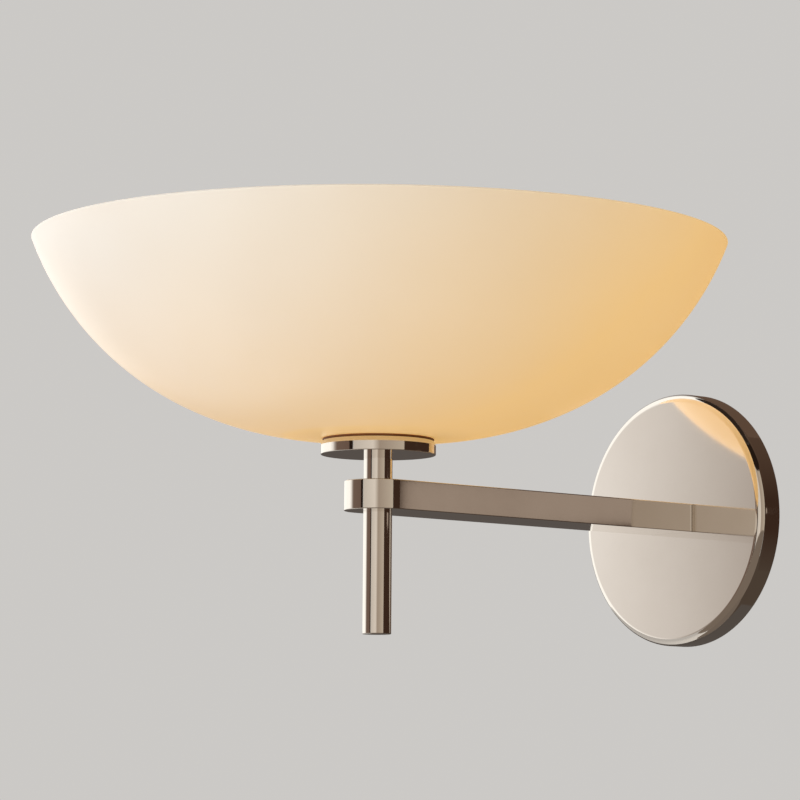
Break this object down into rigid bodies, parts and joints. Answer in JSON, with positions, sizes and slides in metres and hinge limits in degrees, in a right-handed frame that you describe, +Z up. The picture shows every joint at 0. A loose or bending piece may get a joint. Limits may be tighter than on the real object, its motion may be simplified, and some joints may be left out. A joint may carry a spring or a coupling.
{
  "type": "bowl wall sconce",
  "caption": "Wall light: a wide opal glass bowl facing up on a polished flat arm, with a slim stem through the arm's end and a round wall canopy.",
  "frame": {"origin": "centre of the canopy's back, on the wall, between the bracket's slots", "axes": "+Y into the wall, -Y out into the room along the arm, +Z up, +X to the right of someone who faces the wall"},
  "size_m": [0.33, 0.37, 0.186],
  "materials": {
    "polished_nickel": "mirror polished nickel plate",
    "opal_glass": "satin white opal glass",
    "zinc_steel": "zinc-plated pressed steel",
    "zinc_screws": "zinc-plated screws and washers",
    "brass": "bright turned brass",
    "earth_brass": "brass screw with a green chromate finish",
    "black_rubber": "moulded silicone rubber",
    "fibre": "pressed red fibre",
    "ceramic": "white electrical porcelain",
    "block_nylon": "natural nylon",
    "live_pvc": "brown wire sleeve",
    "neutral_pvc": "blue wire sleeve",
    "earth_pvc": "green and yellow wire sleeve",
    "lamp_diffuser": "frosted globe, lit warm white",
    "lamp_body": "white moulded plastic",
    "lamp_metal": "pressed bright cap",
    "black_glass": "black cap insulator",
    "white_board": "white solder mask",
    "led_phosphor": "yellow phosphor",
    "green_board": "green solder mask"
  },
  "bodies": {
    "root": {"wall_bracket": "zinc_steel", "bracket_earth_screw": "earth_brass", "canopy": "polished_nickel", "canopy_side_screws": "polished_nickel", "stiffener_plate": "zinc_steel", "plate_earth_screw": "earth_brass", "arm": "polished_nickel", "arm_screws": "zinc_screws", "arm_lock_washers": "zinc_screws", "wire_grommet": "black_rubber", "terminal_block": "block_nylon", "terminal_screws": "brass", "block_screw": "zinc_screws", "stem": "polished_nickel", "stem_plug": "polished_nickel", "stem_grub_screw": "polished_nickel", "stem_nipple": "brass", "shade_seat": "polished_nickel", "seat_gasket": "black_rubber", "lampholder_base": "polished_nickel", "lampholder_locknut": "brass", "lampholder_core": "ceramic", "lampholder_shell": "polished_nickel", "screw_shell": "brass", "centre_contact": "brass", "holder_terminal_screws": "brass", "live_wire": "live_pvc", "neutral_wire": "neutral_pvc", "earth_wire": "earth_pvc"},
    "shade": {"glass_bowl": "opal_glass", "fibre_washer": "fibre"},
    "ring": {"shade_ring": "polished_nickel"},
    "lamp": {"lamp_globe": "lamp_diffuser", "lamp_collar": "lamp_body", "lamp_cap": "lamp_metal", "lamp_insulator": "black_glass", "lamp_contact": "lamp_metal", "lamp_led_board": "white_board", "lamp_led_chips": "led_phosphor", "lamp_driver_board": "green_board"}
  },
  "joints": [
    {"name": "shade_lift", "type": "slide", "parent": "root", "child": "shade", "axis": [0, 0, 1], "range_m": [0, 0.15]},
    {"name": "ring_turn", "type": "hinge", "parent": "shade", "child": "ring", "pos_m": [0, -0.205, 0.0327], "axis": [0, 0, 1], "range_deg": [0, 900]},
    {"name": "lamp_out", "type": "slide", "parent": "root", "child": "lamp", "axis": [0, 0, 1], "range_m": [0, 0.12]}
  ]
}
